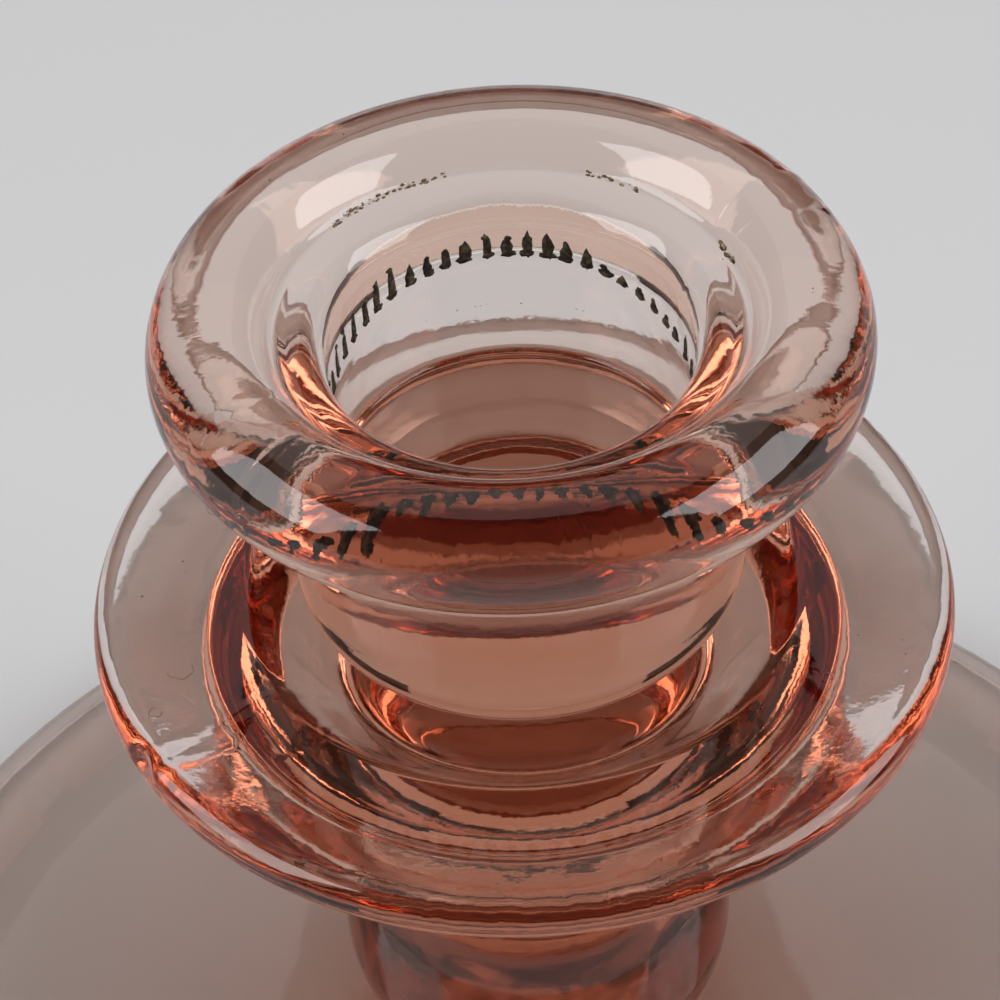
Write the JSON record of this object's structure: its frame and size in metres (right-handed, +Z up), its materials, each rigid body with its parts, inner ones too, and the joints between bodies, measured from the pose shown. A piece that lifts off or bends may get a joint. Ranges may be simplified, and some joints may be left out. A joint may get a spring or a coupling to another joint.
{
  "type": "glass candlestick",
  "caption": "Short pink pressed-glass candlestick: cup with a thick rolled rim, flat drip collar, waisted stem, round knop and a wide round foot.",
  "frame": {"origin": "centre of the foot's resting ring, on the surface that the candlestick stands on", "axes": "+Z up along the stem, through the middle of the candle socket; X and Y are free, because the shape is round"},
  "size_m": [0.1116, 0.1116, 0.082],
  "materials": {
    "pink_glass": "polished"
  },
  "bodies": {
    "root": {"candle_cup": "pink_glass", "drip_collar": "pink_glass", "stem": "pink_glass", "knop": "pink_glass", "foot": "pink_glass"}
  },
  "joints": []
}
